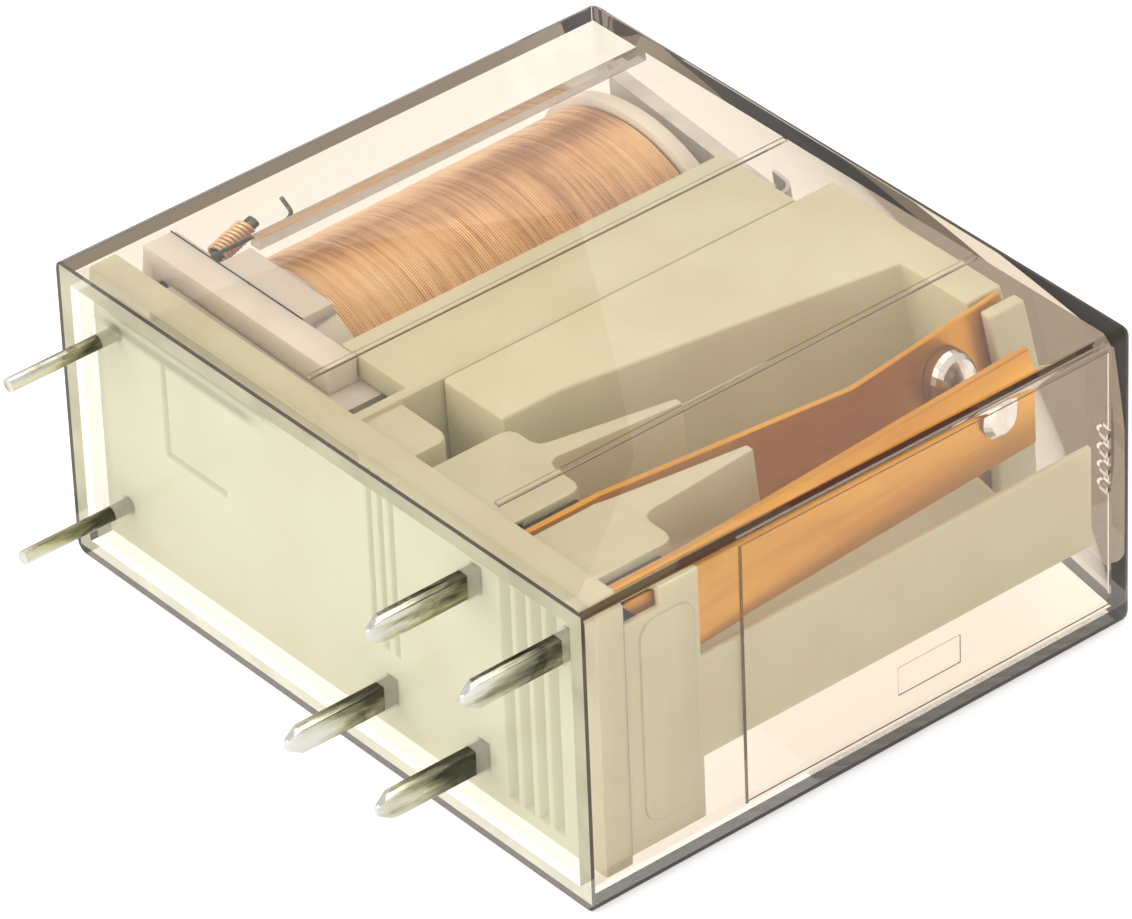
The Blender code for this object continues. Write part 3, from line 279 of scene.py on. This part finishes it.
def tin_and_painted_shade_finish(name, tip_y, root_y):
    """Return tin that is bright at a pin's tip and streaked, and darker at its root: partly
    tarnish, partly painted shade and reflection.
    """
    made, tree, shader = finish(name, (0.86, 0.87, 0.80), 0.12, metallic=1.0)
    streaks = noise(tree, 1100.0, detail=4.0, roughness=0.6, stretch=(1.0, 0.16, 1.0))
    along = add(tree, "SeparateXYZ")
    tree.links.new(place(tree), along.inputs[0])
    wear = add(tree, "Math", operation="ADD")
    tree.links.new(streaks, wear.inputs[0])
    tree.links.new(spread(tree, along.outputs["Y"], 0.16, -0.24, start=tip_y, end=root_y),
                   wear.inputs[1])
    # Painted shade and reflection, partly tarnish: the near-black and olive stops darken streaks
    # and root
    stops = [(0.25, (0.07, 0.07, 0.05)), (0.40, (0.36, 0.35, 0.22)),
             (0.50, (0.74, 0.73, 0.54)), (0.64, (0.95, 0.95, 0.92))]
    tree.links.new(ramp(tree, wear.outputs[0], stops), shader.inputs["Base Color"])
    tree.links.new(spread(tree, streaks, 0.22, 0.08), shader.inputs["Roughness"])
    bump(tree, shader, noise(tree, 700.0, detail=3.0), 0.03 * MM)
    return made


bronze = metal_finish("spring_bronze", (0.98, 0.51, 0.06), (0.80, 0.35, 0.03), 0.32,
                      marks=ROLLED, depth=0.003 * MM, metallic=0.75)
tin = tin_and_painted_shade_finish("tinned_metal", PIN_TIP_Y, PIN_ROOT_Y)
iron = metal_finish("plated_iron", (0.80, 0.78, 0.74), (0.70, 0.68, 0.64), 0.6, metallic=0.5)
steel = metal_finish("spring_steel", (0.80, 0.79, 0.77), (0.68, 0.67, 0.66), 0.55,
                     marks=ROLLED, metallic=0.5)
silver = metal_finish("silver_contact", (0.92, 0.91, 0.89), (0.78, 0.77, 0.75), 0.2)
paint(["core", "yoke", "armature"], iron)
paint(["hinge_spring"], steel)
paint([pole + "_contact" for pole in ("no_moving", "no_fixed", "nc_moving", "nc_fixed")], silver)

# %% [markdown]
# ## Copper wire
# The wire is copper under a clear enamel, so it is an orange metal with a coat. A noise that is
# squeezed along the coil gives single turns their own tone, and a wider one lays long dark
# streaks along the coil. A darker copy of the copper is painted shade for the layer under the
# turns.


# %% Copper wire
def wire_finish(name, dark, middle, light):
    """Return enamelled copper, with tones that change from turn to turn."""
    made, tree, shader = finish(name, middle, 0.36, metallic=0.7)
    turns = noise(tree, 420.0, detail=5.0, roughness=0.7, stretch=(0.5, 14.0, 0.5))
    streaks = noise(tree, 260.0, detail=3.0, roughness=0.6, stretch=(1.0, 0.35, 1.0))
    both = add(tree, "Math", operation="ADD")
    half = add(tree, "Math", operation="MULTIPLY")
    half.inputs[1].default_value = 0.5
    tree.links.new(turns, both.inputs[0])
    tree.links.new(streaks, both.inputs[1])
    tree.links.new(both.outputs[0], half.inputs[0])
    tree.links.new(ramp(tree, half.outputs[0], [(0.38, dark), (0.5, middle), (0.62, light)]),
                   shader.inputs["Base Color"])
    tree.links.new(spread(tree, turns, 0.5, 0.3), shader.inputs["Roughness"])
    shader.inputs["Coat Weight"].default_value = 0.4
    shader.inputs["Coat Roughness"].default_value = 0.15
    return made


copper = wire_finish("enamelled_copper", (0.62, 0.33, 0.16), (0.95, 0.58, 0.30),
                     (1.0, 0.74, 0.45))
# Painted shade: a darker copy of the copper for the layer seen between the turns
copper_in_painted_shade = wire_finish("copper_underneath_painted_shade", (0.30, 0.13, 0.06), (0.48, 0.24, 0.11),
                           (0.62, 0.34, 0.17))
paint(["coil_winding"], copper_in_painted_shade)

# %% [markdown]
# ## Clear plastic
# The cover is a polycarbonate box with walls under a millimetre thick. Its walls are real
# solids, so the glass shader bends light at both of their faces. The tint has two parts: a
# little at each face, which makes the whole box look like weak tea, and a little along the
# path inside the wall, which darkens the edges. Rays from the lamps go straight through, by a
# Transparent shader, because bent shadow rays would leave the inside grainy. A ray that is
# caught between two faces of a wall would end black. After two reflections, or a long way in
# all, it goes straight on as well, through a brown that is painted shade: it stands in for the
# light that the real edges lose inside the wall.

# %% Clear plastic
# Painted shade: the brown that caught rays pass through, in place of the light the real edges
# lose
EDGE_PAINTED_SHADE = (0.50, 0.41, 0.31)
REFLECTIONS_KEPT = 1.5
STEPS_KEPT = 6.5


def clear_finish(name, colour, lamp_colour, ior, tint, density):
    """Return a clear plastic that bends what is seen and lets the lamps through."""
    made, tree, shader = finish(name, colour, 0.0, ior=ior)
    shader.inputs["Transmission Weight"].default_value = 1.0
    path = add(tree, "LightPath")
    caught = add(tree, "Math", operation="GREATER_THAN")
    caught.inputs[1].default_value = REFLECTIONS_KEPT
    long_way = add(tree, "Math", operation="GREATER_THAN")
    long_way.inputs[1].default_value = STEPS_KEPT
    either = add(tree, "Math", operation="MAXIMUM")
    caught_ray_shade = add(tree, "BsdfTransparent", Color=(*EDGE_PAINTED_SHADE, 1.0))
    bends = add(tree, "MixShader")
    through = add(tree, "BsdfTransparent", Color=(*lamp_colour, 1.0))
    mix = add(tree, "MixShader")
    output = tree.nodes["Material Output"]
    tree.links.new(path.outputs["Glossy Depth"], caught.inputs[0])
    tree.links.new(path.outputs["Ray Depth"], long_way.inputs[0])
    tree.links.new(caught.outputs[0], either.inputs[0])
    tree.links.new(long_way.outputs[0], either.inputs[1])
    tree.links.new(either.outputs[0], bends.inputs[0])
    tree.links.new(shader.outputs[0], bends.inputs[1])
    tree.links.new(caught_ray_shade.outputs[0], bends.inputs[2])
    tree.links.new(path.outputs["Is Shadow Ray"], mix.inputs[0])
    tree.links.new(bends.outputs[0], mix.inputs[1])
    tree.links.new(through.outputs[0], mix.inputs[2])
    tree.links.new(mix.outputs[0], output.inputs["Surface"])
    absorb = add(tree, "VolumeAbsorption", Color=(*tint, 1.0), Density=density)
    tree.links.new(absorb.outputs[0], output.inputs["Volume"])
    return made


clear = clear_finish("clear_cover", (0.985, 0.93, 0.86), (0.98, 0.955, 0.92), ior=1.5,
                     tint=(0.6, 0.4, 0.1), density=30.0)
print("clear plastic:", clear.name)

# %% [markdown]
# ## Resin and the shades of the cover's narrow faces
# The mouth of the box is filled with clear yellowish resin. It is thin enough to be a plain
# see-through finish without bent rays. Between the coil's side of the base and the wall there
# is a slot, and the resin runs deep into it, so a window in X and Z makes it darker there: partly
# the deep resin's own tint and partly painted shade in the slot. The other shades are for narrow
# faces of the cover that pass light on sideways and so look dark; the dark ones are painted
# shade.


# %% Resin and shades
def shade_finish(name, colour, alpha):
    """Return a see-through colour for narrow faces; a dark one is painted shade where light
    passes on sideways.
    """
    made, tree, shader = finish(name, colour, 0.3)
    tone = noise(tree, 500.0, detail=2.0)
    dark = tuple(0.8 * part for part in colour)
    tree.links.new(ramp(tree, tone, [(0.35, dark), (0.65, colour)]), shader.inputs["Base Color"])
    shader.inputs["Alpha"].default_value = alpha
    return made


def between(tree, value, start, end, soft):
    """Return 1 where a value lies between two limits, with soft ends."""
    inside = add(tree, "Math", operation="MULTIPLY")
    tree.links.new(spread(tree, value, 0.0, 1.0, start - soft, start + soft), inside.inputs[0])
    tree.links.new(spread(tree, value, 1.0, 0.0, end - soft, end + soft), inside.inputs[1])
    return inside.outputs[0]


RESIN = (0.98, 0.94, 0.74)
# Partly the deep resin's own tint, partly painted shade in the slot, which darkens the resin
# there
DEEP_RESIN_AND_SHADE = (0.34, 0.35, 0.24)
SLOT_X = (-12.6 * MM, -3.6 * MM)
SLOT_Z = (10.75 * MM, 11.25 * MM)
resin_look, tree, shader = finish("clear_resin", RESIN, 0.15)
spot = add(tree, "SeparateXYZ")
tree.links.new(place(tree), spot.inputs[0])
slot_x = between(tree, spot.outputs["X"], *SLOT_X, soft=0.7 * MM)
slot_z = between(tree, spot.outputs["Z"], *SLOT_Z, soft=0.14 * MM)
deep = add(tree, "Math", operation="MULTIPLY")
tree.links.new(slot_x, deep.inputs[0])
tree.links.new(slot_z, deep.inputs[1])
tree.links.new(ramp(tree, deep.outputs[0], [(0.0, RESIN), (1.0, DEEP_RESIN_AND_SHADE)]),
               shader.inputs["Base Color"])
tree.links.new(spread(tree, deep.outputs[0], 0.22, 0.62, 0.0, 1.0), shader.inputs["Alpha"])
# Painted shade: dark see-through colours for the foot bands, the step line and the rib sides
edge_painted_shade = shade_finish("cover_edge_painted_shade", (0.07, 0.055, 0.04), 0.83)
line_painted_shade = shade_finish("cover_line_painted_shade", (0.13, 0.07, 0.04), 0.8)
rib_painted_shade = shade_finish("cover_rib_painted_shade", (0.42, 0.33, 0.22), 0.42)
rim_look = shade_finish("cover_rim", (0.78, 0.74, 0.52), 0.7)
paint(["sealing_resin"], resin_look)

# %% [markdown]
# ## Soft edges
# Moulded and pressed pieces have no sharp edges, and light catches on the small rounds. The
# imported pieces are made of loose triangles, so each is copied, its corners are merged, its flat
# triangles are joined, and a Bevel rounds what is left. The copy then stands for the node.


# %% Helpers that make soft copies
def alone(item):
    """Select one object only, and make it active."""
    bpy.ops.object.select_all(action="DESELECT")
    item.select_set(True)
    bpy.context.view_layer.objects.active = item


def apply_all(item):
    """Apply an object's modifiers in their order."""
    alone(item)
    for modifier in list(item.modifiers):
        bpy.ops.object.modifier_apply(modifier=modifier.name)


def clean_copy(node, name, look):
    """Return a copy of a CAD node with merged corners and whole flat faces."""
    made = bpy.data.objects.new(name, frame["nodes"][node].data.copy())
    bpy.context.collection.objects.link(made)
    alone(made)
    bpy.ops.mesh.customdata_custom_splitnormals_clear()
    bpy.ops.object.mode_set(mode="EDIT")
    bpy.ops.mesh.select_all(action="SELECT")
    bpy.ops.mesh.remove_doubles(threshold=0.001 * MM)
    bpy.ops.mesh.dissolve_limited(angle_limit=math.radians(0.5))
    bpy.ops.object.mode_set(mode="OBJECT")
    made.data.materials.clear()
    made.data.materials.append(look)
    return made


def softened(node, name, look, width, segments=2):
    """Make a soft-edged copy of a CAD node that replaces the node."""
    made = clean_copy(node, name, look)
    edge = made.modifiers.new("soft_edge", "BEVEL")
    edge.width = width
    edge.segments = segments
    edge.limit_method = "ANGLE"
    edge.angle_limit = math.radians(40)
    edge.use_clamp_overlap = False
    apply_all(made)
    bpy.ops.object.shade_smooth_by_angle(angle=math.radians(40))
    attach(made, frame["nodes"][node]["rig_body"])
    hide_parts(node)
    print(name, "has", len(made.data.polygons), "faces")


print("helpers that make soft copies are ready")

# %% [markdown]
# ## Soften the visible pieces
# The rounds follow the real tools: the card has generous ones, the moulded pieces have about
# seven hundredths of a millimetre, and the thin leaves only have their edges broken. The small
# round pins and the wire beside them stay as packed.

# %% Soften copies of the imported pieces
softened("base", "moulded_base", cream, 0.07 * MM)
softened("actuator", "moulded_card", cream, 0.12 * MM, 3)
softened("bobbin", "moulded_bobbin", bobbin_look, 0.08 * MM)
for pole in ("no_moving", "no_fixed", "nc_moving", "nc_fixed"):
    softened(pole + "_spring", pole + "_leaf", bronze, 0.04 * MM, 1)
    softened(pole + "_terminal", pole + "_blade", tin, 0.08 * MM)
paint(["coil_pin_upper", "coil_pin_lower", "coil_lead_upper", "coil_lead_lower"], tin)

# %% [markdown]
# ## The clear box and its lines
# In a clear box the walls nearly vanish, and what draws it are lines: the dark bands along its
# foot, the step where the thick part of the side wall ends, and the sides of the ribs. There
# light turns sideways into the wall and is lost, and these lines are painted on as shade. So the
# cover is copied, and strips are cut along its rim, its foot and the step with Bisect. Its
# threshold has to be small here: by itself it takes every corner within a tenth of a millimetre
# of the plane as lying on it.

# %% Copy the cover and cut the strips, in millimetres
STRIP = 0.2
FRONT_BAND = 0.33
FOOT_BAND = 0.95
STEP_Y = -3.45
STEP_LINE = 0.1

box = clean_copy("cover", "clear_box", clear)
for look in (edge_painted_shade, line_painted_shade, rib_painted_shade, rim_look):
    box.data.materials.append(look)
box_low, box_high = (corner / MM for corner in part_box("cover"))
cuts = [((0, 0, box_low.z + FRONT_BAND), (0, 0, 1)), ((0, 0, box_high.z - STRIP), (0, 0, 1)),
        ((0, 0, box_low.z + FOOT_BAND), (0, 0, 1)),
        ((box_low.x + STRIP, 0, 0), (1, 0, 0)), ((box_high.x - STRIP, 0, 0), (1, 0, 0)),
        ((0, STEP_Y + STEP_LINE, 0), (0, 1, 0))]
bpy.ops.object.mode_set(mode="EDIT")
for point, direction in cuts:
    bpy.ops.mesh.select_all(action="SELECT")
    bpy.ops.mesh.bisect(plane_co=[part * MM for part in point], plane_no=direction,
                        threshold=0.001 * MM)
bpy.ops.object.mode_set(mode="OBJECT")
print("the clear box has", len(box.data.polygons), "faces")

# %% [markdown]
# ## The shades of the narrow faces
# Each face gets a shade by its place, in millimetres, and its direction. A picture could be
# painted over the walls instead, but a rule by place needs no unwrapping, and it can be read:
# the rim, the bands along the foot, the step, the ribs, and the sides of the blank frame that
# is sunk in the wall. The dark shades are painted shade. Faces that no rule names stay clear.

# %% Shade the narrow faces
CLEAR, EDGE, LINE, RIB, RIM = range(5)
INNER_X = 13.65
INNER_Y = 13.9
OUTER_X = 14.0
NARROW_RIB_Z = 11.78
BROAD_RIB_Z = 11.4
RIB_SIDES_Z = (11.5, 11.9)
LAST_RIB_X = 8.0
MARK_X = (13.82, 13.87)
MARK_SIDE_AREA = 0.3 * MM * MM
RIM_DEPTH = 0.1
NEAR = 0.05


def shade_of(face):
    """Return the index of a face's shade."""
    x, y, z = face.center / MM
    normal = face.normal
    outline = z < FRONT_BAND or z > box_high.z - STRIP or abs(x) > box_high.x - STRIP
    on_side = abs(x) > OUTER_X or y > INNER_Y
    on_step = STEP_Y < y < STEP_Y + STEP_LINE
    if y < box_low.y + RIM_DEPTH and normal.y < -0.5:
        return EDGE if outline else RIM
    if z < FOOT_BAND and abs(normal.z) < 0.98 and on_side:
        return EDGE
    if x > INNER_X and normal.y > 0.9 and abs(y - STEP_Y) < STEP_LINE:
        return LINE
    if INNER_X - NEAR < x < OUTER_X and normal.x < -0.9 and on_step:
        return LINE
    if INNER_X < x < INNER_X + 0.15 and normal.z < -0.9 and abs(z - NARROW_RIB_Z) < NEAR:
        return LINE
    if x < LAST_RIB_X and abs(normal.x) > 0.9 and RIB_SIDES_Z[0] < z < RIB_SIDES_Z[1]:
        return RIB
    if abs(z - BROAD_RIB_Z) < NEAR and normal.z < -0.9:
        return RIB
    if MARK_X[0] < x < MARK_X[1] and face.area < MARK_SIDE_AREA:
        return RIB
    return CLEAR


for face in box.data.polygons:
    face.material_index = shade_of(face)
bpy.ops.object.shade_smooth_by_angle(angle=math.radians(35))
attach(box, "housing")
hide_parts("cover")
counts = [sum(face.material_index == shade for face in box.data.polygons)
          for shade in (CLEAR, EDGE, LINE, RIB, RIM)]
print("faces of clear, edge, line, rib and rim shade:", counts)

# %% [markdown]
# ## Fine wire
# The coil is wound with wire a tenth of a millimetre thick. The wire's section is a small
# circle, and a Screw modifier winds it nearly 150 times round an axis, as the winding machine
# does. A curve with a thick bevel could do it too, but the modifier's turns stay a plain mesh
# with few faces. The open ends are closed with Fill Holes.


# %% A tool that winds wire with the Screw modifier
def wound_wire(name, wire_radius, coil_radius, turns, pitch, steps, sides=6):
    """Return a closed helix of wire about Z that starts at height 0."""
    bpy.ops.object.select_all(action="DESELECT")
    bpy.ops.mesh.primitive_circle_add(vertices=sides, radius=wire_radius,
                                      location=(coil_radius, 0.0, 0.0),
                                      rotation=(math.radians(90), 0.0, 0.0))
    made = bpy.context.object
    made.name = name
    bpy.ops.object.transform_apply(location=True, rotation=True, scale=True)
    screw = made.modifiers.new("winding", "SCREW")
    screw.axis = "Z"
    screw.iterations = turns
    screw.screw_offset = pitch
    screw.steps = steps
    screw.render_steps = steps
    screw.use_normal_calculate = True
    apply_all(made)
    bpy.ops.object.mode_set(mode="EDIT")
    bpy.ops.mesh.select_all(action="DESELECT")
    bpy.ops.mesh.select_mode(type="EDGE")
    bpy.ops.mesh.select_non_manifold(extend=False)
    bpy.ops.mesh.fill_holes(sides=sides + 2)
    bpy.ops.mesh.select_all(action="SELECT")
    bpy.ops.mesh.normals_make_consistent(inside=False)
    bpy.ops.object.mode_set(mode="OBJECT")
    bpy.ops.object.shade_smooth()
    return made


print("a tool that winds wire is ready")

# %% [markdown]
# ## An uneven winding
# A real winding is never quite even. So each point is moved a few hundredths of a millimetre
# by a smooth noise: turns crowd together in one place and open in another, and the darker
# layer below shows between them, painted darker as shade. Neighbours move alike, so no wire is
# torn.


# %% Tools that lay the wire and let it wander
def lay_along(made, direction, start):
    """Turn a piece's Z axis onto a direction, move it to a place, and apply both."""
    made.rotation_mode = "QUATERNION"
    made.rotation_quaternion = Vector((0, 0, 1)).rotation_difference(Vector(direction))
    made.location = start
    alone(made)
    bpy.ops.object.transform_apply(location=True, rotation=True, scale=True)


def let_wander(made, centre, reach, along):
    """Move the turns a little in and out, and along the coil, by a smooth noise."""
    for vert in made.data.vertices:
        out = Vector((vert.co.x - centre.x, 0.0, vert.co.z - centre.z)).normalized()
        cell = Vector((vert.co.x * 500.0, vert.co.y * 900.0, vert.co.z * 500.0))
        vert.co += out * noise_field.noise(cell) * reach
        vert.co.y += noise_field.noise(cell * 0.7 + Vector((9.0, 0.0, 0.0))) * along


print("tools that lay wire and let it wander are ready")

# %% [markdown]
# ## The coil
# The imported ring gives the coil its place, length and radius, and it stays below as the darker
# layer: the same copper, painted darker as the shade between the turns. The wire is as thick as
# one turn is long, and a little over half of it is sunk in the ring.

# %% Wind the coil
TURNS = 150
COIL_STEPS = 44
WANDER_OUT = 0.03 * MM
WANDER_ALONG = 0.05 * MM
low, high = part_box("coil_winding")
coil_centre = (low + high) / 2
coil_radius = (high.x - low.x) / 2
pitch = (high.y - low.y) / TURNS
coil = wound_wire("fine_winding", pitch * 0.5, coil_radius - pitch * 0.15, TURNS - 2, pitch,
                  COIL_STEPS)
lay_along(coil, (0, 1, 0), (coil_centre.x, low.y + pitch, coil_centre.z))
let_wander(coil, coil_centre, WANDER_OUT, WANDER_ALONG)
coil.data.materials.append(copper)
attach(coil, "housing")
print("turns:", TURNS - 2, "wire:", round(pitch / MM, 3), "mm, faces:", len(coil.data.polygons))

# %% [markdown]
# ## Wire wraps
# Each end of the wire is wrapped round a post before it is soldered. The wrap follows the
# post, which leans outwards, so its axis is worked out from the pin's own path.

# %% Wrap the wire ends on the posts
POST_FOOT = Vector((-12.4, -5.67, 0.0)) * MM
POST_LEAN = Vector((-0.35, 2.75, 0.0)) * MM
POST_RISE = 0.875 * MM
ROW_HEIGHT = 3.75 * MM
WRAP_START = 0.9 * MM
WRAP_WIRE = 0.085 * MM
WRAP_RADIUS = 0.385 * MM
WRAP_PITCH = 0.175 * MM
WRAP_TURNS = 9
for side, end in ((1, "upper"), (-1, "lower")):
    axis = POST_LEAN + Vector((0, 0, side * POST_RISE))
    foot = POST_FOOT + Vector((0, 0, coil_centre.z + side * ROW_HEIGHT))
    wrap = wound_wire("wrapped_wire_" + end, WRAP_WIRE, WRAP_RADIUS, WRAP_TURNS, WRAP_PITCH,
                      steps=20, sides=8)
    lay_along(wrap, axis, foot + axis.normalized() * WRAP_START)
    wrap.data.materials.append(copper)
    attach(wrap, "housing")
    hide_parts("wire_wrap_" + end)
    print(wrap.name, "faces:", len(wrap.data.polygons))

# %% [markdown]
# ## Floor
# The photograph is shot on white, under soft lamps. The floor is a big sheet of pale paper,
# which keeps the relay's soft shadow. To the camera, and through clear plastic, the paper also
# glows a little, so that it ends in the white of the background.

# %% Floor
FLOOR_SIZE = 4.0
PAPER_WHITE = (0.93, 0.93, 0.93)
PAPER_GLOW = 0.5
bpy.ops.object.select_all(action="DESELECT")
bpy.ops.mesh.primitive_grid_add(x_subdivisions=2, y_subdivisions=2, size=FLOOR_SIZE)
floor = bpy.context.object
floor.name = "paper_floor"
paper, tree, shader = finish("white_paper", PAPER_WHITE, 0.9)
glow = add(tree, "Emission", Color=(1.0, 1.0, 1.0, 1.0), Strength=PAPER_GLOW)
path = add(tree, "LightPath")
seen = add(tree, "Math", operation="MAXIMUM")
join = add(tree, "AddShader")
gate = add(tree, "MixShader")
tree.links.new(path.outputs["Is Camera Ray"], seen.inputs[0])
tree.links.new(path.outputs["Is Transmission Ray"], seen.inputs[1])
tree.links.new(shader.outputs[0], join.inputs[0])
tree.links.new(glow.outputs[0], join.inputs[1])
tree.links.new(seen.outputs[0], gate.inputs[0])
tree.links.new(shader.outputs[0], gate.inputs[1])
tree.links.new(join.outputs[0], gate.inputs[2])
tree.links.new(gate.outputs[0], tree.nodes["Material Output"].inputs["Surface"])
floor.data.materials.append(paper)
print("floor:", floor.name, "of", FLOOR_SIZE, "m")

# %% [markdown]
# ## World
# The world is white to the camera and through clear plastic, and darker to everything else, so
# the lamps still give form and the metal keeps its colour.

# %% World
AMBIENT = 0.66
WHITE = 1.0
world = bpy.data.worlds.new("white_studio")
world.use_nodes = True
bpy.context.scene.world = world
tree = world.node_tree
sky = tree.nodes["Background"]
sky.inputs["Color"].default_value = (1.0, 1.0, 1.0, 1.0)
path = add(tree, "LightPath")
bright = add(tree, "Math", operation="MAXIMUM")
strength = add(tree, "MapRange", To_Min=AMBIENT, To_Max=WHITE)
tree.links.new(path.outputs["Is Camera Ray"], bright.inputs[0])
tree.links.new(path.outputs["Is Transmission Ray"], bright.inputs[1])
tree.links.new(bright.outputs[0], strength.inputs["Value"])
tree.links.new(strength.outputs["Result"], sky.inputs["Strength"])
print("world:", world.name, "gives", AMBIENT, "of the light that the camera sees")

# %% [markdown]
# ## Lamps and dark cards
# A wide lamp hangs above and one stands at each side that the photograph shows. Metal in an
# all-white room looks like paper, so two small dark cards stand out of the picture, as in a
# photographer's studio, and only shiny surfaces see them.


# %% Lamps and dark cards
LAMP_DISTANCE = 0.35
CARD_DISTANCE = 0.12


def soft_lamp(name, direction, size, power):
    """Hang a square lamp in a direction, aimed at the relay."""
    towards = Vector(direction).normalized()
    bpy.ops.object.light_add(type="AREA", location=towards * LAMP_DISTANCE)
    lamp = bpy.context.object
    lamp.name = name
    lamp.data.size = size
    lamp.data.energy = power
    lamp.rotation_euler = (-towards).to_track_quat("-Z", "Y").to_euler()


def dark_card(name, direction, size):
    """Stand a dark card that only shiny surfaces see."""
    towards = Vector(direction).normalized()
    bpy.ops.object.select_all(action="DESELECT")
    bpy.ops.mesh.primitive_grid_add(x_subdivisions=2, y_subdivisions=2, size=size,
                                    location=towards * CARD_DISTANCE,
                                    rotation=towards.to_track_quat("Z", "Y").to_euler())
    card = bpy.context.object
    card.name = name
    card.data.materials.append(black_card)
    card.visible_camera = card.visible_diffuse = card.visible_shadow = False
    card.visible_transmission = False


black_card = finish("black_card", (0.03, 0.035, 0.02), 0.8)[0]
dark_card("high_card", (-0.64, 0.3, 0.7), 0.06)
dark_card("low_card", (0.75, -0.1, 0.25), 0.05)
soft_lamp("top_softbox", (-0.25, 0.15, 1.0), 0.3, 0.26)
soft_lamp("pin_side_softbox", (-0.2, -1.0, 0.4), 0.25, 0.50)
soft_lamp("contact_side_softbox", (1.0, -0.2, 0.4), 0.25, 0.17)
